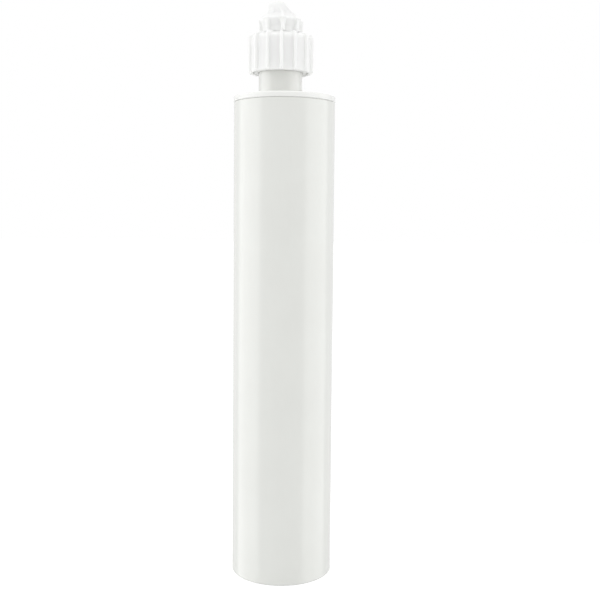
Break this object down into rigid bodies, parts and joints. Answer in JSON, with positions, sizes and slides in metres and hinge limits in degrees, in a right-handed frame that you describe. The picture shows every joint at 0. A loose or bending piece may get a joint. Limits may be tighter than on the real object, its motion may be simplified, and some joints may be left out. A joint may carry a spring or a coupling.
{
  "type": "chemical anchor cartridge",
  "caption": "Slim plastic sealant-gun cartridge of two-part anchoring resin in film bags, with an off-centre outlet neck, ribbed screw cap and rear piston.",
  "frame": {"origin": "centre of the sleeve's rear rim, on the surface that the cartridge stands on", "axes": "+Z runs along the sleeve's axis to the outlet and the cap; -X is the side that the outlet neck is offset to; -Y is the front"},
  "size_m": [0.0496, 0.0496, 0.2817],
  "materials": {
    "sleeve_plastic": "satin",
    "head_plastic": "satin",
    "cap_plastic": "satin",
    "seal_foam": "matte",
    "piston_plastic": "satin",
    "resin_film": "gloss",
    "hardener_film": "gloss",
    "clip_wire": "satin"
  },
  "bodies": {
    "cartridge": {"cartridge_sleeve": "sleeve_plastic", "outlet_head": "head_plastic", "resin_bag": "resin_film", "hardener_bag": "hardener_film", "resin_front_clip": "clip_wire", "hardener_front_clip": "clip_wire"},
    "cap_seal": {"cap_seal_ring": "seal_foam"},
    "cap": {"screw_cap": "cap_plastic"},
    "piston": {"piston": "piston_plastic", "resin_rear_clip": "clip_wire", "hardener_rear_clip": "clip_wire"}
  },
  "joints": [
    {"name": "cap_lift", "type": "slide", "parent": "cartridge", "child": "cap_seal", "axis": [0, 0, 1], "range_m": [0, 0.0121]},
    {"name": "cap_turn", "type": "hinge", "parent": "cap_seal", "child": "cap", "pos_m": [-0.0021, 0, 0.2566], "axis": [0, 0, 1], "range_deg": [0, 1440]},
    {"name": "piston_slide", "type": "slide", "parent": "cartridge", "child": "piston", "axis": [0, 0, 1], "range_m": [0, 0.18], "deforming": ["resin_bag", "hardener_bag"]}
  ],
  "couplings": [
    {"joint": "cap_lift", "follows": "cap_turn", "m_per_rad": 0.00047746}
  ]
}
